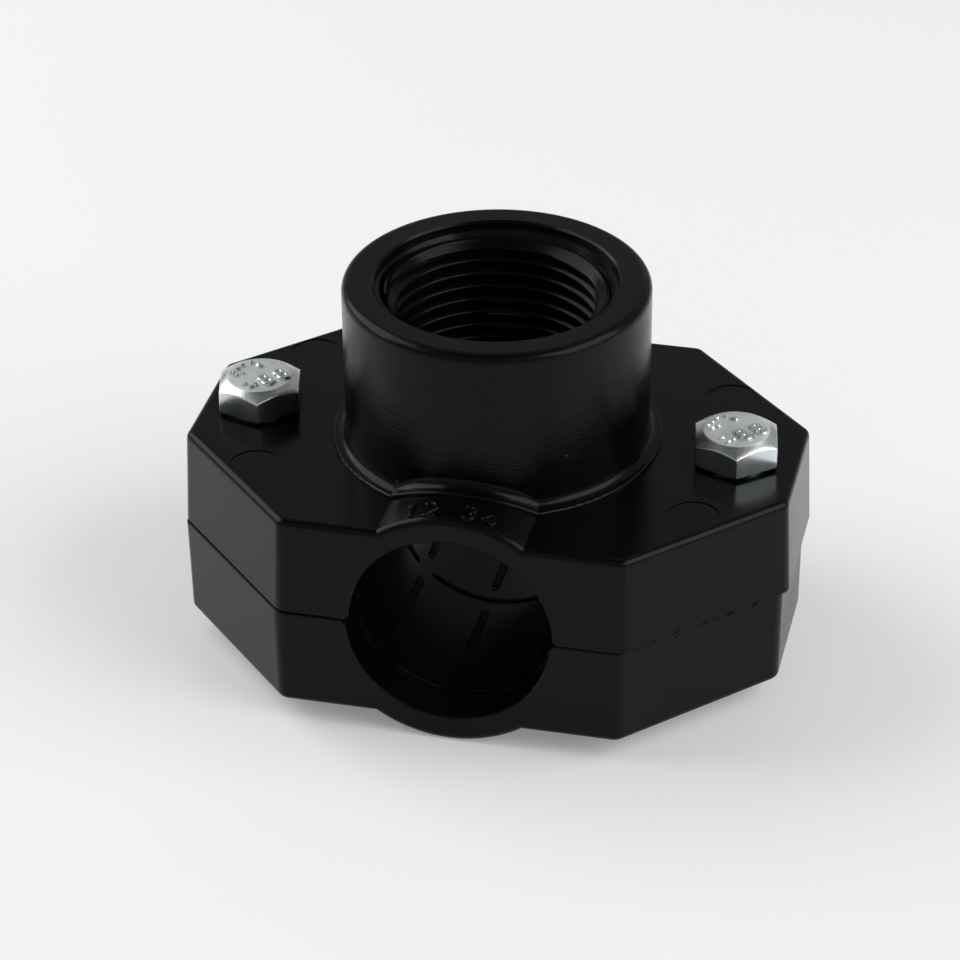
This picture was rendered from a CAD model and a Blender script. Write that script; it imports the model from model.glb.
import bpy
import math
import random
from mathutils import Matrix, Vector


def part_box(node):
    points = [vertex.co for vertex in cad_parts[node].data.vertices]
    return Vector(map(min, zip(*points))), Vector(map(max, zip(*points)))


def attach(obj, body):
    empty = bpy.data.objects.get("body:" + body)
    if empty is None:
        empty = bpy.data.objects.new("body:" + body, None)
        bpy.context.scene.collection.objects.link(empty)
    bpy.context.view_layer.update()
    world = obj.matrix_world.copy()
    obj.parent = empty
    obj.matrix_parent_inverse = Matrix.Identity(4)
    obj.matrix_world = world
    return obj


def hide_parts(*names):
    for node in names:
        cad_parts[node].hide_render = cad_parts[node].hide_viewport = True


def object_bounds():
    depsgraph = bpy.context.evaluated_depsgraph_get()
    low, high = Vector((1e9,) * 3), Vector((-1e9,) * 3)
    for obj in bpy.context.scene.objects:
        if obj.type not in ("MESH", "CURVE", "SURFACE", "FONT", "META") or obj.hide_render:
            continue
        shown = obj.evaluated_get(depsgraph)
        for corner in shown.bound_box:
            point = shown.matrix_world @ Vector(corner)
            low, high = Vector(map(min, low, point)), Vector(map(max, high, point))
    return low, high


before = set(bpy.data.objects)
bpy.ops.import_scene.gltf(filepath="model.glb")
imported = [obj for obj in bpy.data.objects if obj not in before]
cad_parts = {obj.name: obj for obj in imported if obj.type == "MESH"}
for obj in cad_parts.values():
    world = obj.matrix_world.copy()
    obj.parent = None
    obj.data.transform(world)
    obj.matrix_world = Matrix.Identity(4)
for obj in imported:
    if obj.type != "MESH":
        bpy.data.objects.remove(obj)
cad_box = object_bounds()

# ------------------------------------------------------------------ camera
# A long lens looks down on the saddle from the front, a little from the right,
# so that the branch, both bolts and the pipe seat are in sight.
look_at = Vector((-0.00231, 0.0, 0.00508))
camera_azimuth = math.radians(13.497)
camera_elevation = math.radians(32.381)
camera_roll = math.radians(-0.574)
camera_distance = 0.42374
camera_back = Vector((
    math.sin(camera_azimuth) * math.cos(camera_elevation),
    -math.cos(camera_azimuth) * math.cos(camera_elevation),
    math.sin(camera_elevation)))
level_right = Vector((0, 0, 1)).cross(camera_back).normalized()
level_up = camera_back.cross(level_right)
camera_right = level_right * math.cos(camera_roll) + level_up * math.sin(camera_roll)
camera_up = level_up * math.cos(camera_roll) - level_right * math.sin(camera_roll)
camera_data = bpy.data.cameras.new("camera")
camera_data.lens = 127.5
camera_data.sensor_width = 36.0
camera_data.clip_start = 0.01
camera_data.clip_end = 10.0
camera = bpy.data.objects.new("camera", camera_data)
bpy.context.scene.collection.objects.link(camera)
camera.matrix_world = (
    Matrix.Translation(look_at + camera_back * camera_distance)
    @ Matrix((camera_right, camera_up, camera_back)).transposed().to_4x4())
bpy.context.scene.camera = camera


# ------------------------------------------------------------------ upper half with its branch
# The saddle's upper half and its threaded branch are one black polypropylene moulding,
# with the mould's fine grain, faint flow marks and streaks round the branch, and the
# scratches and dust of a part that has lain in a bin with others.
def effect_group(name, inputs, outputs):
    """New shader node group; inputs are (name, default), outputs are (name, socket type)."""
    group = bpy.data.node_groups.new(name, "ShaderNodeTree")
    for socket_name, default in inputs:
        socket = group.interface.new_socket(
            socket_name, in_out="INPUT", socket_type="NodeSocketFloat")
        socket.default_value = default
    for socket_name, socket_type in outputs:
        group.interface.new_socket(socket_name, in_out="OUTPUT", socket_type=socket_type)
    return group, group.nodes.new("NodeGroupInput"), group.nodes.new("NodeGroupOutput")


def wire(tree, value, socket):
    """Sets a socket to a plain value, or links it to the output it is given."""
    if isinstance(value, bpy.types.NodeSocket):
        tree.links.new(value, socket)
    else:
        socket.default_value = value


def math_node(tree, operation, a, b=0.0, clamp=False):
    node = tree.nodes.new("ShaderNodeMath")
    node.operation = operation
    node.use_clamp = clamp
    wire(tree, a, node.inputs[0])
    wire(tree, b, node.inputs[1])
    return node.outputs[0]


def ramp_between(tree, value, low, high, low_out=0.0, high_out=1.0):
    """Smooth step of a value from low to high."""
    node = tree.nodes.new("ShaderNodeMapRange")
    node.interpolation_type = "SMOOTHSTEP"
    for socket, part in zip(node.inputs[:5], (value, low, high, low_out, high_out)):
        wire(tree, part, socket)
    return node.outputs[0]


def object_place(tree):
    return tree.nodes.new("ShaderNodeTexCoord").outputs["Object"]


def turned(tree, vector, angles=(0, 0, 0), stretch=(1, 1, 1)):
    node = tree.nodes.new("ShaderNodeMapping")
    tree.links.new(vector, node.inputs["Vector"])
    node.inputs["Rotation"].default_value = [math.radians(angle) for angle in angles]
    node.inputs["Scale"].default_value = stretch
    return node.outputs[0]


def noise(tree, vector, scale, detail=2.0, rough=0.5):
    node = tree.nodes.new("ShaderNodeTexNoise")
    tree.links.new(vector, node.inputs["Vector"])
    wire(tree, scale, node.inputs["Scale"])
    node.inputs["Detail"].default_value = detail
    node.inputs["Roughness"].default_value = rough
    return node.outputs["Fac"]


def build_moulded_skin():
    """Grain of a mould's wall, and the slow change of gloss that the melt's flow leaves."""
    group, given, result = effect_group(
        "moulded_skin",
        [("Grain Scale", 2600.0), ("Flow Scale", 55.0),
         ("Roughness", 0.33), ("Roughness Spread", 0.08)],
        [("Height", "NodeSocketFloat"), ("Roughness", "NodeSocketFloat"),
         ("Flow", "NodeSocketFloat")])
    place = object_place(group)
    grain = noise(group, place, given.outputs["Grain Scale"], 3.0, 0.6)
    drawn_out = turned(group, place, (0, 0, 20), (1, 0.45, 1.6))
    flow = noise(group, drawn_out, given.outputs["Flow Scale"], 3.0)
    swing = math_node(group, "MULTIPLY", math_node(group, "SUBTRACT", flow, 0.5), 2.0)
    spread = math_node(group, "MULTIPLY", swing, given.outputs["Roughness Spread"])
    fine = math_node(group, "MULTIPLY", math_node(group, "SUBTRACT", grain, 0.5),
                     given.outputs["Roughness Spread"])
    change = math_node(group, "ADD", spread, fine)
    rough = math_node(group, "ADD", given.outputs["Roughness"], change, True)
    group.links.new(grain, result.inputs["Height"])
    group.links.new(rough, result.inputs["Roughness"])
    group.links.new(flow, result.inputs["Flow"])
    return group


def build_scratch_lines():
    """Single fine straight scratches lying in two directions, each of its own strength."""
    group, given, result = effect_group(
        "scratch_lines", [("Scale", 260.0), ("Width", 0.05), ("Share", 0.9)],
        [("Scratch", "NodeSocketFloat")])
    place = object_place(group)
    marks = []
    for angles, stretch in (((8, 14, 24), (0.09, 1, 1)), ((-12, 9, 74), (0.13, 1, 1))):
        cells = group.nodes.new("ShaderNodeTexVoronoi")
        group.links.new(turned(group, place, angles, stretch), cells.inputs["Vector"])
        group.links.new(given.outputs["Scale"], cells.inputs["Scale"])
        parts = group.nodes.new("ShaderNodeSeparateColor")
        group.links.new(cells.outputs["Color"], parts.inputs[0])
        chosen = math_node(group, "GREATER_THAN", parts.outputs[0], given.outputs["Share"])
        edge = ramp_between(group, cells.outputs["Distance"], 0.0, given.outputs["Width"], 1.0, 0.0)
        strength = math_node(group, "MULTIPLY", chosen, parts.outputs[1])
        marks.append(math_node(group, "MULTIPLY", edge, strength))
    group.links.new(math_node(group, "MAXIMUM", *marks), result.inputs["Scratch"])
    return group


def build_dust_specks():
    """Scattered pale specks: dust and small nicks."""
    group, given, result = effect_group(
        "dust_specks", [("Scale", 420.0), ("Size", 0.07), ("Share", 0.93)],
        [("Speck", "NodeSocketFloat")])
    cells = group.nodes.new("ShaderNodeTexVoronoi")
    group.links.new(object_place(group), cells.inputs["Vector"])
    group.links.new(given.outputs["Scale"], cells.inputs["Scale"])
    parts = group.nodes.new("ShaderNodeSeparateColor")
    group.links.new(cells.outputs["Color"], parts.inputs[0])
    chosen = math_node(group, "GREATER_THAN", parts.outputs[0], given.outputs["Share"])
    size = math_node(group, "MULTIPLY", given.outputs["Size"], parts.outputs[1])
    near = math_node(group, "LESS_THAN", cells.outputs["Distance"], size)
    group.links.new(math_node(group, "MULTIPLY", chosen, near), result.inputs["Speck"])
    return group


def build_edge_rub():
    """Mask of the edges that handling rubs, from how far the rounded normal leaves the true one."""
    group, given, result = effect_group(
        "edge_rub", [("Radius", 0.0003), ("Sharpness", 5.0)], [("Rub", "NodeSocketFloat")])
    rounded = group.nodes.new("ShaderNodeBevel")
    rounded.samples = 3
    group.links.new(given.outputs["Radius"], rounded.inputs["Radius"])
    true = group.nodes.new("ShaderNodeNewGeometry")
    dot = group.nodes.new("ShaderNodeVectorMath")
    dot.operation = "DOT_PRODUCT"
    group.links.new(rounded.outputs[0], dot.inputs[0])
    group.links.new(true.outputs["Normal"], dot.inputs[1])
    turn = math_node(group, "SUBTRACT", 1.0, dot.outputs["Value"])
    raw = math_node(group, "MULTIPLY", turn, given.outputs["Sharpness"], True)
    patches = noise(group, object_place(group), 900.0, 3.0)
    broken = ramp_between(group, patches, 0.35, 0.65, 0.35, 1.0)
    group.links.new(math_node(group, "MULTIPLY", raw, broken), result.inputs["Rub"])
    return group


def build_turning_streaks():
    """Fine streaks round an upright wall, strongest where its own mask says."""
    group, given, result = effect_group(
        "turning_streaks",
        [("Inner", 0.0181), ("Outer", 0.01872), ("Lowest", 0.0155), ("Highest", 0.0175),
         ("Turn Length", 0.0006), ("Turn Climb", 0.0011), ("Pitch", 5200.0)],
        [("Height", "NodeSocketFloat"), ("Mask", "NodeSocketFloat"), ("Streak", "NodeSocketFloat")])
    axes = group.nodes.new("ShaderNodeSeparateXYZ")
    group.links.new(object_place(group), axes.inputs[0])
    x, y, z = axes.outputs
    around = math_node(group, "ARCTAN2", y, x)
    out = math_node(group, "SQRT", math_node(
        group, "ADD", math_node(group, "MULTIPLY", x, x), math_node(group, "MULTIPLY", y, y)))
    past_inner = math_node(group, "GREATER_THAN", out, given.outputs["Inner"])
    within_outer = math_node(group, "LESS_THAN", out, given.outputs["Outer"])
    on_wall = math_node(group, "MULTIPLY", past_inner, within_outer)
    above = ramp_between(group, z, given.outputs["Lowest"], given.outputs["Highest"])
    mask = math_node(group, "MULTIPLY", on_wall, above)
    unrolled = group.nodes.new("ShaderNodeCombineXYZ")
    tilt = math_node(group, "MULTIPLY", around, given.outputs["Turn Climb"])
    along = math_node(group, "MULTIPLY", around, given.outputs["Turn Length"])
    group.links.new(along, unrolled.inputs[0])
    group.links.new(math_node(group, "ADD", z, tilt), unrolled.inputs[2])
    streak = noise(group, unrolled.outputs[0], given.outputs["Pitch"], 2.0, 0.6)
    stretched = turned(group, unrolled.outputs[0], (0, 0, 0), (2, 1, 0.25))
    slow = noise(group, stretched, 900.0, 2.0)
    both = math_node(group, "ADD", math_node(group, "MULTIPLY", streak, 0.6),
                     math_node(group, "MULTIPLY", slow, 0.4))
    group.links.new(math_node(group, "MULTIPLY", both, mask), result.inputs["Height"])
    group.links.new(mask, result.inputs["Mask"])
    group.links.new(both, result.inputs["Streak"])
    return group


def place_group(tree, group, **values):
    """Node that uses an effect group, its inputs set by name with _ for spaces."""
    node = tree.nodes.new("ShaderNodeGroup")
    node.node_tree = group
    for name, value in values.items():
        wire(tree, value, node.inputs[name.replace("_", " ")])
    return node.outputs


def mixed_colour(tree, share, first, second):
    node = tree.nodes.new("ShaderNodeMix")
    node.data_type = "RGBA"
    wire(tree, share, node.inputs["Factor"])
    wire(tree, first, node.inputs["A"])
    wire(tree, second, node.inputs["B"])
    return node.outputs["Result"]


def bump(tree, height, distance, strength=1.0, under=None):
    node = tree.nodes.new("ShaderNodeBump")
    node.inputs["Strength"].default_value = strength
    node.inputs["Distance"].default_value = distance
    tree.links.new(height, node.inputs["Height"])
    if under is not None:
        tree.links.new(under, node.inputs["Normal"])
    return node.outputs["Normal"]


def new_material(name):
    material = bpy.data.materials.new(name)
    material.use_nodes = True
    tree = material.node_tree
    return material, tree, tree.nodes["Principled BSDF"]


moulded_skin = build_moulded_skin()
scratch_lines = build_scratch_lines()
dust_specks = build_dust_specks()
edge_rub = build_edge_rub()
turning_streaks = build_turning_streaks()


def black_polypropylene(name, roughness, branch_wall, gloss=0.125):
    """Semi-gloss black moulding; the one with the branch has the streaks of its wall."""
    material, tree, shader = new_material(name)
    skin = place_group(tree, moulded_skin, Roughness=roughness, Roughness_Spread=0.05)
    scratch = place_group(tree, scratch_lines)["Scratch"]
    speck = place_group(tree, dust_specks)["Speck"]
    rub = place_group(tree, edge_rub)["Rub"]
    deep, grey = (0.0013, 0.0017, 0.0028, 1), (0.0023, 0.0026, 0.0034, 1)
    rubbed, scratched, dusty = (
        (0.010, 0.010, 0.010, 1), (0.03, 0.03, 0.032, 1), (0.09, 0.09, 0.088, 1))
    colour = mixed_colour(tree, skin["Flow"], deep, grey)
    for mask, share, tone in ((rub, 0.3, rubbed), (scratch, 0.5, scratched), (speck, 0.6, dusty)):
        colour = mixed_colour(tree, math_node(tree, "MULTIPLY", mask, share), colour, tone)
    rough = math_node(tree, "ADD", skin["Roughness"], math_node(tree, "MULTIPLY", scratch, 0.15))
    rough = math_node(tree, "ADD", rough, math_node(tree, "MULTIPLY", speck, 0.3))
    rough = math_node(tree, "SUBTRACT", rough, math_node(tree, "MULTIPLY", rub, 0.05))
    normal = bump(tree, skin["Height"], 0.000012)
    normal = bump(tree, scratch, -0.00002, 1.0, normal)
    if branch_wall:
        streaks = place_group(tree, turning_streaks)
        normal = bump(tree, streaks["Height"], 0.00005, 1.0, normal)
        swing = math_node(tree, "SUBTRACT", streaks["Streak"], 0.42)
        swing = math_node(tree, "MULTIPLY", swing, 0.3)
        swing = math_node(tree, "MULTIPLY", swing, streaks["Mask"])
        rough = math_node(tree, "ADD", rough, swing)
    tree.links.new(colour, shader.inputs["Base Color"])
    tree.links.new(rough, shader.inputs["Roughness"])
    tree.links.new(normal, shader.inputs["Normal"])
    shader.inputs["Specular IOR Level"].default_value = gloss
    return material


def dress(node_name, material):
    """Gives a carried-over CAD node its material."""
    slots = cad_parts[node_name].data.materials
    slots.clear()
    slots.append(material)


body_plastic = black_polypropylene("body_polypropylene", 0.2, True)
dress("saddle_body", body_plastic)

mm = 0.001
body_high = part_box("saddle_body")[1] / mm
branch_top = body_high.z


def mesh_piece(name, points, faces, materials, slot, smooth_angle=35.0, face_slots=None):
    """Piece from points in millimetres, smooth but for edges over the given angle."""
    mesh = bpy.data.meshes.new(name)
    mesh.from_pydata([Vector(point) * mm for point in points], [], faces)
    for material in materials:
        mesh.materials.append(material)
    for polygon in mesh.polygons:
        polygon.use_smooth = True
        if face_slots:
            polygon.material_index = face_slots[polygon.index]
    mesh.set_sharp_from_angle(angle=math.radians(smooth_angle))
    piece = bpy.data.objects.new(name, mesh)
    bpy.context.scene.collection.objects.link(piece)
    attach(piece, "root")
    return piece


def sweep_rings(points, faces, rings, closed=False):
    """Joins rings of points, each as long as the next, into a tube; open tubes get end caps."""
    first = len(points)
    count = len(rings[0])
    for ring in rings:
        points.extend(ring)
    pairs = len(rings) if closed else len(rings) - 1
    for i in range(pairs):
        a, b = first + i * count, first + (i + 1) % len(rings) * count
        for j in range(count):
            k = (j + 1) % count
            faces.append((a + j, a + k, b + k, b + j))
    if not closed:
        faces.append(tuple(first + j for j in reversed(range(count))))
        faces.append(tuple(first + (len(rings) - 1) * count + j for j in range(count)))


# ------------------------------------------------------------------ branch thread
# The G 3/4 pipe thread moulded inside the branch: a right-hand ridge of rounded
# 55 degree crests on the bore's wall, running out at the mouth and at the floor.
thread_major = 13.22
thread_pitch = 1.814
thread_depth = 1.162
thread_first_crest = branch_top - 1.8
thread_last_crest = branch_top - 16.0
thread_steps = 120
thread_root_sink = 0.05
thread_back = 0.35
thread_start_angle = math.radians(200)
thread_run_in = 0.15
thread_run_out = 0.45
thread_least = 0.02
countersink_end = branch_top - 2.7
ridge_profile = [
    (-0.5, 0.0), (-0.44, 0.045), (-0.38, 0.15), (-0.25, 0.5), (-0.12, 0.86), (-0.06, 0.965),
    (0.0, 1.0), (0.06, 0.965), (0.12, 0.86), (0.25, 0.5), (0.38, 0.15), (0.44, 0.045), (0.5, 0.0)]
thread_turns = (thread_first_crest - thread_last_crest) / thread_pitch
ridge_rings = []
step_count = int(thread_turns * thread_steps)
for step in range(step_count + 1):
    turn = step / thread_steps
    run_out = min(turn / thread_run_in, (thread_turns - turn) / thread_run_out, 1.0)
    grown = max(run_out * run_out * (3 - 2 * run_out), thread_least)
    angle = thread_start_angle - 2 * math.pi * turn
    middle = thread_first_crest - thread_pitch * turn
    ring = []
    for along, share in ridge_profile:
        height = middle + along * thread_pitch
        reach = thread_major + thread_root_sink - (thread_depth + thread_root_sink) * share * grown
        countersunk = thread_major - thread_depth + max(height - countersink_end, 0.0)
        reach = max(reach, min(countersunk, thread_major + thread_root_sink + 0.01 * share))
        ring.append((reach * math.cos(angle), reach * math.sin(angle), height))
    for along in (0.45, -0.45):
        reach = thread_major + thread_back
        height = middle + along * thread_pitch
        ring.append((reach * math.cos(angle), reach * math.sin(angle), height))
    ridge_rings.append(ring)
points, faces = [], []
sweep_rings(points, faces, ridge_rings)
thread_plastic = black_polypropylene("thread_polypropylene", 0.2, False, 0.09)
mesh_piece("branch_thread", points, faces, [thread_plastic], "black_plastic", 60.0)


# ------------------------------------------------------------------ raised figures on the crown
# Where the barrel's crown stands out of the plate in front of the collar, the mould
# leaves raised figures and a dot; they follow the crown's curve.
def path_point(path, closed, distance):
    """Point and direction at a distance along a path of (u, v) points."""
    ends = path[1:] + path[:1] if closed else path[1:]
    for (u0, v0), (u1, v1) in zip(path, ends):
        length = math.hypot(u1 - u0, v1 - v0)
        if distance <= length or (u1, v1) == ends[-1]:
            share = min(distance / length, 1.0)
            return (u0 + (u1 - u0) * share, v0 + (v1 - v0) * share,
                    (u1 - u0) / length, (v1 - v0) / length)
        distance -= length


def path_length(path, closed):
    ends = path[1:] + path[:1] if closed else path[1:]
    return sum(math.hypot(u1 - u0, v1 - v0) for (u0, v0), (u1, v1) in zip(path, ends))


end_angles = (12, 35, 60, 90)
section_steps = 8
section_fullness = 0.7
loop_stations = 20


def raised_line(points, faces, path, half_width, height, place, closed=False, step=0.25, sink=0.06):
    """Adds a raised bar with a rounded section and rounded ends along a path on a surface."""
    length = path_length(path, closed)
    if closed:
        stations = [(length * i / loop_stations, 1.0) for i in range(loop_stations)]
    else:
        rise = [(half_width * (1 - math.cos(math.radians(a))), math.sin(math.radians(a)))
                for a in end_angles]
        rise = [(min(at, length / 2), scale) for at, scale in rise]
        inner = max(int((length - 2 * half_width) / step), 1)
        span = length - 2 * rise[-1][0]
        middle = [(rise[-1][0] + span * i / inner, 1.0) for i in range(1, inner)]
        stations = rise + middle + [(length - at, scale) for at, scale in reversed(rise)]
    rings = []
    for at, scale in stations:
        u, v, du, dv = path_point(path, closed, at)
        if closed:
            before = path_point(path, True, (at - 0.05) % length)
            after = path_point(path, True, (at + 0.05) % length)
            du, dv = after[0] - before[0], after[1] - before[1]
            size = math.hypot(du, dv) or 1.0
            du, dv = du / size, dv / size
        ring = [place(u - dv * half_width * scale, v + du * half_width * scale, -sink)]
        for k in range(section_steps + 1):
            angle = math.pi * k / section_steps
            off = math.cos(angle) * half_width * scale
            inside = 0 < k < section_steps
            up = math.sin(angle) ** section_fullness * height * scale if inside else 0.0
            ring.append(place(u - dv * off, v + du * off, up))
        ring.append(place(u + dv * half_width * scale, v - du * half_width * scale, -sink))
        rings.append(ring)
    sweep_rings(points, faces, rings, closed)


def arc_path(u, v, radius, start, stop, count=10):
    return [(u + radius * math.cos(math.radians(start + (stop - start) * i / count)),
             v + radius * math.sin(math.radians(start + (stop - start) * i / count)))
            for i in range(count + 1)]


# Strokes of each figure in a box one high, from its lower left corner.
figure_strokes = {
    "1": [[(0.12, 0.78), (0.38, 1.0), (0.38, 0.0)]],
    "2": [arc_path(0.33, 0.7, 0.3, 160, -40, 8) + [(0.05, 0.0), (0.66, 0.0)]],
    "3": [arc_path(0.3, 0.75, 0.25, 150, -90, 8) + arc_path(0.3, 0.26, 0.26, 80, -150, 8)],
    "4": [[(0.5, 0.0), (0.5, 1.0), (0.02, 0.3), (0.7, 0.3)]],
    "8": [arc_path(0.33, 0.75, 0.24, 0, 324, 9), arc_path(0.33, 0.26, 0.27, 0, 324, 9)],
    ".": [[(0.14, 0.06), (0.22, 0.06)]],
}
closed_figures = "8"


def raised_figures(points, faces, text, centre, size, turn, spacing, half_width, height, place):
    """Adds a row of figures whose middle is at centre, its base line turned by an angle."""
    width = spacing * (len(text) - 1) + 0.66 * size
    cos, sin = math.cos(math.radians(turn)), math.sin(math.radians(turn))
    for number, figure in enumerate(text):
        for stroke in figure_strokes[figure]:
            path = []
            for u, v in stroke:
                u = u * size + number * spacing - width / 2
                v = (v - 0.5) * size
                path.append((centre[0] + u * cos - v * sin, centre[1] + u * sin + v * cos))
            raised_line(points, faces, path, half_width, height, place,
                        figure in closed_figures, 0.3)


crown_radius = 15.5


def on_crown(u, v, height):
    angle = u / crown_radius
    reach = crown_radius + height
    return (reach * math.sin(angle), v, reach * math.cos(angle))


points, faces = [], []
raised_figures(points, faces, "12.34", centre=(-0.4, -23.2), size=2.6, turn=0.0, spacing=2.4,
               half_width=0.32, height=0.34, place=on_crown)
mesh_piece("crown_figures", points, faces, [body_plastic], "black_plastic", 50.0)

# ------------------------------------------------------------------ grip beads
# Low rounded beads stand in the pipe seat of both halves, an interrupted ring near each
# end and three along the pipe, so that the clamped saddle can't slide; part of the mouldings.
bore_radius = 12.45
bead_half_width = 0.55
bead_height = 0.19
bead_half_turn = 77.0
ring_bead_place = 20.5
long_bead_angles = (-46.0, -3.0, 44.0)
bead_gap_angle = 5.5
long_bead_end = 18.2
upper_bead_start = 12.5
lower_bead_start = 2.3
body_half_length = body_high.x
strap_slip = Vector((-0.40, -0.30, 0.0))
strap_tilt = math.radians(0.19)
strap_hinge = Vector((body_half_length, 0, 0))
strap_place = (
    Matrix.Translation(strap_slip) @ Matrix.Translation(strap_hinge)
    @ Matrix.Rotation(-strap_tilt, 4, "Y") @ Matrix.Translation(-strap_hinge))


def in_lower_seat(u, v, height):
    angle = u / bore_radius
    reach = bore_radius - height
    return strap_place @ Vector((reach * math.sin(angle), v, -reach * math.cos(angle)))


def in_upper_seat(u, v, height):
    angle = u / bore_radius
    reach = bore_radius - height
    return (-reach * math.sin(angle), v, reach * math.cos(angle))


def grip_beads(place, lengthwise_start, middle_ring):
    points, faces = [], []
    for y in (-ring_bead_place, ring_bead_place) + ((0.0,) if middle_ring else ()):
        crossed = [a for a in long_bead_angles if y or abs(a) > bead_gap_angle]
        starts = [-bead_half_turn] + [a + bead_gap_angle for a in crossed]
        stops = [a - bead_gap_angle for a in crossed] + [bead_half_turn]
        for start, stop in zip(starts, stops):
            path = [(math.radians(start + (stop - start) * i / 8) * bore_radius, y)
                    for i in range(9)]
            raised_line(points, faces, path, bead_half_width, bead_height, place, False, 0.5, 0.1)
    for angle in long_bead_angles:
        for side in (-1, 1):
            u = math.radians(angle) * bore_radius
            path = [(u, side * lengthwise_start), (u, side * long_bead_end)]
            raised_line(points, faces, path, bead_half_width, bead_height, place, False, 1.0, 0.1)
    return points, faces


bead_plastic = black_polypropylene("bead_polypropylene", 0.5, False, 0.07)
mesh_piece("upper_grip_beads", *grip_beads(in_upper_seat, upper_bead_start, False),
           [bead_plastic], "black_plastic", 60.0)

# ------------------------------------------------------------------ branch gasket
# A nitrile rubber ring, moulded to the pipe's curve, lies in its groove round the port
# and seals the branch against the pipe; its skin is matt and a little dusty.
rubber, tree, shader = new_material("nitrile_rubber")
skin = place_group(tree, moulded_skin, Grain_Scale=3800.0, Roughness=0.62, Roughness_Spread=0.1)
speck = place_group(tree, dust_specks, Scale=900.0, Size=0.12, Share=0.9)["Speck"]
rubber_colour = mixed_colour(
    tree, skin["Flow"], (0.010, 0.010, 0.010, 1), (0.018, 0.018, 0.017, 1))
dusting = math_node(tree, "MULTIPLY", speck, 0.5)
rubber_colour = mixed_colour(tree, dusting, rubber_colour, (0.11, 0.11, 0.1, 1))
tree.links.new(rubber_colour, shader.inputs["Base Color"])
tree.links.new(skin["Roughness"], shader.inputs["Roughness"])
tree.links.new(bump(tree, skin["Height"], 0.00003), shader.inputs["Normal"])
dress("branch_gasket", rubber)

# ------------------------------------------------------------------ lower half
# The strap that closes the saddle from below, a second black polypropylene moulding;
# it sits a little askew on the bolts, with crumbs of flash along its seam.
strap_plastic = black_polypropylene("strap_polypropylene", 0.24, False)
dress("lower_strap", strap_plastic)
mesh_piece("lower_grip_beads", *grip_beads(in_lower_seat, lower_bead_start, True),
           [bead_plastic], "black_plastic", 60.0)

flash_start = Vector((22.6, -25.3, 0.0))
flash_end = Vector((36.9, -10.4, 0.0))
flash_along = (flash_end - flash_start).normalized()
flash_out = Vector((0, 0, 1)).cross(flash_along) * -1
flash_depth = 0.06
crumb_length = (0.15, 1.5)
crumb_level = (-0.2, 0.3)
crumb_lift = (-0.15, 0.35)
crumb_half_width = (0.03, 0.06)
crumb_height = (0.01, 0.03)
crumb_gap = (0.3, 2.6)
flash_draws = random.Random(7)


def on_seam(u, v, height):
    return flash_start + flash_along * u + Vector((0, 0, v)) + flash_out * (height - flash_depth)


points, faces = [], []
flash_at = 0.0
flash_length = (flash_end - flash_start).length
while flash_at < flash_length - 1.2:
    crumb = flash_draws.uniform(*crumb_length)
    level = flash_draws.uniform(*crumb_level)
    lift = flash_draws.uniform(*crumb_lift)
    raised_line(points, faces, [(flash_at, level), (flash_at + crumb, level + lift)],
                flash_draws.uniform(*crumb_half_width), flash_draws.uniform(*crumb_height),
                on_seam, False, 0.2, 0.1)
    flash_at += crumb + flash_draws.uniform(*crumb_gap)
mesh_piece("parting_flash", points, faces, [strap_plastic], "black_plastic", 60.0)


# ------------------------------------------------------------------ bolts
# Two M6 hexagon bolts of zinc-plated steel, cold headed, with a washer face, a turned
# crown and raised strength marks; they pass through both halves and end in the nuts.
def build_plating_mottle():
    """Cloudy tint and uneven gloss of blue-passivated zinc."""
    group, given, result = effect_group(
        "plating_mottle", [("Scale", 420.0), ("Roughness", 0.25), ("Roughness Spread", 0.1)],
        [("Tint", "NodeSocketFloat"), ("Roughness", "NodeSocketFloat"),
         ("Height", "NodeSocketFloat")])
    place = object_place(group)
    cloud = noise(group, place, given.outputs["Scale"], 3.0)
    fine = noise(group, place, 3600.0, 3.0, 0.6)
    both = math_node(group, "ADD", math_node(group, "MULTIPLY", cloud, 0.7),
                     math_node(group, "MULTIPLY", fine, 0.6))
    swing = math_node(group, "SUBTRACT", both, 0.65)
    spread = math_node(group, "MULTIPLY", math_node(group, "MULTIPLY", swing, 3.0),
                       given.outputs["Roughness Spread"])
    rough = math_node(group, "ADD", given.outputs["Roughness"], spread, True)
    group.links.new(ramp_between(group, cloud, 0.3, 0.7), result.inputs["Tint"])
    group.links.new(rough, result.inputs["Roughness"])
    group.links.new(fine, result.inputs["Height"])
    return group


plating_mottle = build_plating_mottle()


def zinc_plating(name, roughness, spread, grain, bare):
    material, tree, shader = new_material(name)
    mottle = place_group(tree, plating_mottle, Roughness=roughness, Roughness_Spread=spread)
    scratch = place_group(tree, scratch_lines, Scale=1500.0, Width=0.12, Share=0.75)["Scratch"]
    rub = place_group(tree, edge_rub, Radius=0.00012)["Rub"]
    bluish, pale = (0.60, 0.68, 0.72, 1), (0.74, 0.76, 0.74, 1)
    rubbed, scratched = (0.90, 0.92, 0.92, 1), (0.45, 0.47, 0.48, 1)
    colour = mixed_colour(tree, mottle["Tint"], bluish, pale)
    for mask, share, tone in ((rub, 0.7, rubbed), (scratch, 0.5, scratched)):
        colour = mixed_colour(tree, math_node(tree, "MULTIPLY", mask, share), colour, tone)
    dulled = math_node(tree, "MULTIPLY", scratch, 0.2)
    rough = math_node(tree, "ADD", mottle["Roughness"], dulled, True)
    normal = bump(tree, mottle["Height"], grain)
    tree.links.new(colour, shader.inputs["Base Color"])
    tree.links.new(rough, shader.inputs["Roughness"])
    tree.links.new(normal, shader.inputs["Normal"])
    shader.inputs["Metallic"].default_value = bare
    return material


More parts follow.
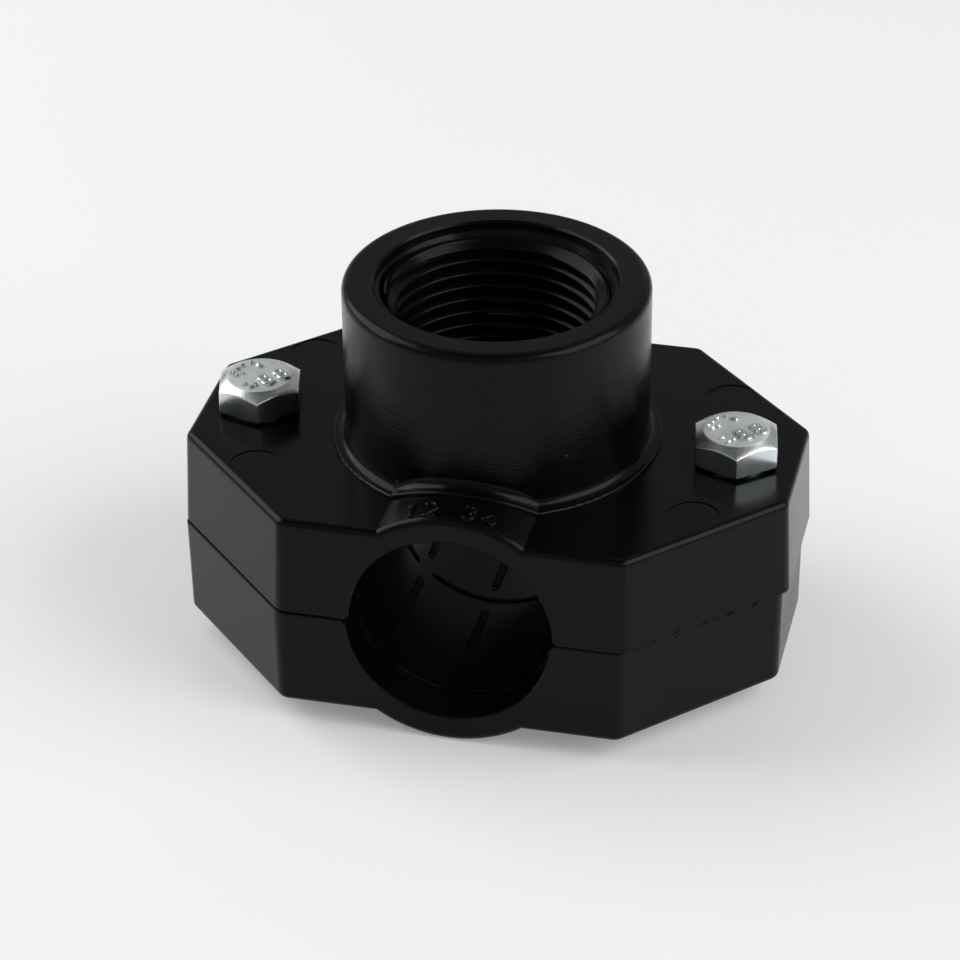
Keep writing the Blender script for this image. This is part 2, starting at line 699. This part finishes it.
zinc_flats = zinc_plating("zinc_flats", 0.2, 0.06, 0.000005, 0.97)
zinc_cone = zinc_plating("zinc_cone", 0.3, 0.12, 0.000012, 0.95)
zinc_crown = zinc_plating("zinc_crown", 0.5, 0.12, 0.00003, 0.3)

half_flats = 9.89 / 2
head_height = 4.15
washer_height = 0.45
washer_radius = 4.5
crown_radius_of_head = 0.81 * half_flats
crown_ring_radii = (0.4, 1.4, 2.6, 3.5)
cone_slope = math.tan(math.radians(30))
corner_round = 0.12
shank_radius = 3.0
bolt_reach = 32.15
thread_length = 15.0
metric_pitch = 1.0
metric_depth = 0.55
metric_ring_step = 0.125
metric_run_in = 0.8
side_angles = (-30, -29.7, -29.35, -28, -22, -15, -7, 0, 7, 15, 22, 28, 29.35, 29.7)


def hexagon_reach(from_flat):
    """Distance from the axis to a rounded hexagon, at an angle from the middle of a flat."""
    flat = half_flats / math.cos(math.radians(from_flat))
    centre = (half_flats - corner_round) / math.cos(math.radians(30))
    across = centre * math.sin(math.radians(30 - abs(from_flat)))
    if across < corner_round:
        along = centre * math.cos(math.radians(30 - abs(from_flat)))
        return min(flat, along + math.sqrt(corner_round ** 2 - across ** 2))
    return flat


def bolt_rings(head_turn):
    """Rings from the crown down to the tip; each is a list of (radius, height, angle)."""
    columns = []
    for side in range(6):
        for from_flat in side_angles:
            angle = math.radians(head_turn + 60 * side + 60 + from_flat)
            columns.append((angle, hexagon_reach(from_flat)))
    rings = []

    def ring(radius_of, height_of):
        rings.append([(radius_of(angle, hexagon), height_of(angle, hexagon), angle)
                      for angle, hexagon in columns])

    def plain(radius, height):
        ring(lambda angle, hexagon: radius, lambda angle, hexagon: height)

    for radius in (*crown_ring_radii, crown_radius_of_head - 0.1):
        plain(radius, 0.0)
    plain(crown_radius_of_head, -0.03)
    plain(crown_radius_of_head + 0.09, -0.09)
    crown_rings = len(rings)

    def cone(reach):
        return -0.04 - (reach - crown_radius_of_head) * cone_slope

    ring(lambda a, hexagon: (hexagon + crown_radius_of_head) / 2,
         lambda a, hexagon: cone((hexagon + crown_radius_of_head) / 2))
    ring(lambda a, hexagon: hexagon - 0.1, lambda a, hexagon: cone(hexagon - 0.1))
    ring(lambda a, hexagon: hexagon - 0.03, lambda a, hexagon: cone(hexagon) - 0.02)
    ring(lambda a, hexagon: hexagon, lambda a, hexagon: cone(hexagon) - 0.1)
    side_foot = washer_height - head_height
    ring(lambda a, hexagon: hexagon, lambda a, hexagon: cone(hexagon) - 0.16)
    ring(lambda a, hexagon: hexagon, lambda a, hexagon: side_foot + 0.15)
    ring(lambda a, hexagon: hexagon, lambda a, hexagon: side_foot + 0.09)
    ring(lambda a, hexagon: hexagon - 0.02, lambda a, hexagon: side_foot + 0.03)
    ring(lambda a, hexagon: hexagon - 0.08, lambda a, hexagon: side_foot)
    plain(washer_radius + 0.05, side_foot)
    plain(washer_radius, side_foot - 0.05)
    plain(washer_radius, 0.04 - head_height)
    plain(washer_radius - 0.04, -head_height)
    plain(shank_radius + 0.12, -head_height)
    plain(shank_radius, -head_height - 0.15)
    start = -bolt_reach + thread_length
    plain(shank_radius, start + 0.4)
    plain(shank_radius, start)
    steps = int((thread_length - 0.75) / metric_ring_step)
    for step in range(1, steps + 1):
        height = start - step * metric_ring_step
        grown = min(step * metric_ring_step / metric_run_in, 1.0)

        def cut(angle, hexagon, height=height, grown=grown):
            phase = (height / metric_pitch - angle / (2 * math.pi)) % 1.0
            share = min(max((abs(phase - 0.5) * 2 - 0.14) / 0.7, 0.0), 1.0)
            return shank_radius - metric_depth * (1 - share) * grown

        ring(cut, lambda angle, hexagon, height=height: height)
    plain(shank_radius - metric_depth, 0.35 - bolt_reach)
    plain(shank_radius - 0.72, 0.08 - bolt_reach)
    plain(shank_radius - 0.85, -bolt_reach)
    return rings, crown_rings, len(columns)


# Short raised bars of the header's die, each from one end to the other in millimetres.
mark_bars = [
    [(-1.9, 2.5), (-1.6, 2.45)], [(-1.1, 2.3), (-0.2, 1.7)], [(-2.8, 1.6), (-2.5, 1.4)],
    [(-3.1, 0.55), (-2.8, 0.4)], [(-3.5, -0.3), (-3.2, -0.6)], [(-2.9, -0.8), (-2.6, -1.2)],
    [(-2.3, -0.1), (-2.1, -0.5)], [(-1.2, -2.7), (-0.9, -3.0)], [(0.0, -2.5), (0.5, -2.9)],
    [(-0.3, -3.3), (0.1, -3.5)]]
marks_turn = -13
flats_slot, crown_slot, cone_slot = 0, 1, 2
cone_ring_count = 3


def build_bolt(name, node, head_turn):
    """Bolt in place of its CAD node, its marks standing on the flat of the crown."""
    low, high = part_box(node)
    axis = Vector(((low.x + high.x) / 2, (low.y + high.y) / 2, high.z)) / mm
    rings, crown_rings, count = bolt_rings(head_turn)
    points, faces = [], []
    placed = [[axis + Vector((r * math.cos(a), r * math.sin(a), z)) for r, z, a in ring]
              for ring in rings]
    sweep_rings(points, faces, placed)
    face_slots = [crown_slot] * ((crown_rings - 1) * count)
    face_slots += [cone_slot] * (cone_ring_count * count)
    face_slots += [flats_slot] * (len(faces) - len(face_slots))
    face_slots[-2] = crown_slot
    turned_by = math.radians(head_turn + marks_turn)

    def on_crown_flat(u, v, height):
        return axis + Vector((
            u * math.cos(turned_by) - v * math.sin(turned_by),
            u * math.sin(turned_by) + v * math.cos(turned_by), height))

    marks_from = len(faces)
    raised_figures(points, faces, "8.8", centre=(1.9, -0.5), size=2.1, turn=50.0, spacing=1.15,
                   half_width=0.34, height=0.4, place=on_crown_flat)
    for bar in mark_bars:
        raised_line(points, faces, bar, 0.42, 0.42, on_crown_flat, False, 0.3)
    face_slots += [cone_slot] * (len(faces) - marks_from)
    finishes = [zinc_flats, zinc_crown, zinc_cone]
    piece = mesh_piece(name, points, faces, finishes, "zinc_steel", 28.0, face_slots)
    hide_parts(node)


build_bolt("left_zinc_bolt", "bolt_left", 12.9)
build_bolt("right_zinc_bolt", "bolt_right", 10.1)

# ------------------------------------------------------------------ nuts
# M6 hexagon nuts of the same plating, held in the six-sided pockets under the strap
# so that the bolts can be tightened from above.
zinc_nut = zinc_plating("zinc_nut", 0.3, 0.1, 0.00002, 1.0)
for nut in ("nut_left", "nut_right"):
    dress(nut, zinc_nut)

# ------------------------------------------------------------------ floor and light
# The saddle stands on a white board that is lit a little from within, between two soft
# boxes in a dim room; a dark card hung over it keeps the contrast of thread and bolt heads.
board, tree, shader = new_material("white_board")
shader.inputs["Emission Color"].default_value = (0.98, 0.99, 1.0, 1)
shader.inputs["Emission Strength"].default_value = 0.205
board_tone = noise(tree, object_place(tree), 6.0, 2.0)
board_colour = mixed_colour(tree, board_tone, (0.815, 0.82, 0.845, 1), (0.83, 0.835, 0.855, 1))
tree.links.new(board_colour, shader.inputs["Base Color"])
shader.inputs["Roughness"].default_value = 0.4
floor_reach = 3.0
floor_mesh = bpy.data.meshes.new("floor")
floor_mesh.from_pydata(
    [(-floor_reach, -floor_reach, 0), (floor_reach, -floor_reach, 0),
     (floor_reach, floor_reach, 0), (-floor_reach, floor_reach, 0)], [], [(0, 1, 2, 3)])
floor_mesh.materials.append(board)
floor = bpy.data.objects.new("floor", floor_mesh)
floor.location.z = cad_box[0].z
bpy.context.scene.collection.objects.link(floor)


def softbox(name, place, width, height, watts):
    data = bpy.data.lights.new(name, "AREA")
    data.shape = "RECTANGLE"
    data.size = width
    data.size_y = height
    data.energy = watts
    lamp = bpy.data.objects.new(name, data)
    lamp.location = place
    lamp.rotation_euler = (-Vector(place)).to_track_quat("-Z", "Y").to_euler()
    bpy.context.scene.collection.objects.link(lamp)


softbox("left_softbox", (-0.60, 0.08, 0.45), 0.7, 0.6, 3.5)
softbox("right_softbox", (0.62, -0.08, 0.45), 0.7, 0.6, 3.7)

card_cloth, tree, shader = new_material("card_cloth")
weave = noise(tree, object_place(tree), 900.0, 2.0)
cloth_colour = mixed_colour(tree, weave, (0.05, 0.05, 0.05, 1), (0.07, 0.07, 0.07, 1))
tree.links.new(cloth_colour, shader.inputs["Base Color"])
shader.inputs["Roughness"].default_value = 0.9
card_height = 0.5
card_corners = ((-0.2, -0.32), (0.2, -0.32), (0.2, 0.12), (-0.2, 0.12))
card_mesh = bpy.data.meshes.new("overhead_card")
card_mesh.from_pydata([(x, y, card_height) for x, y in card_corners], [], [(0, 1, 2, 3)])
card_mesh.materials.append(card_cloth)
card = bpy.data.objects.new("overhead_card", card_mesh)
bpy.context.scene.collection.objects.link(card)

room = bpy.data.worlds.new("room")
room.use_nodes = True
room.node_tree.nodes["Background"].inputs["Color"].default_value = (0.330, 0.320, 0.303, 1)
bpy.context.scene.world = room
bpy.context.scene.view_settings.view_transform = "Standard"
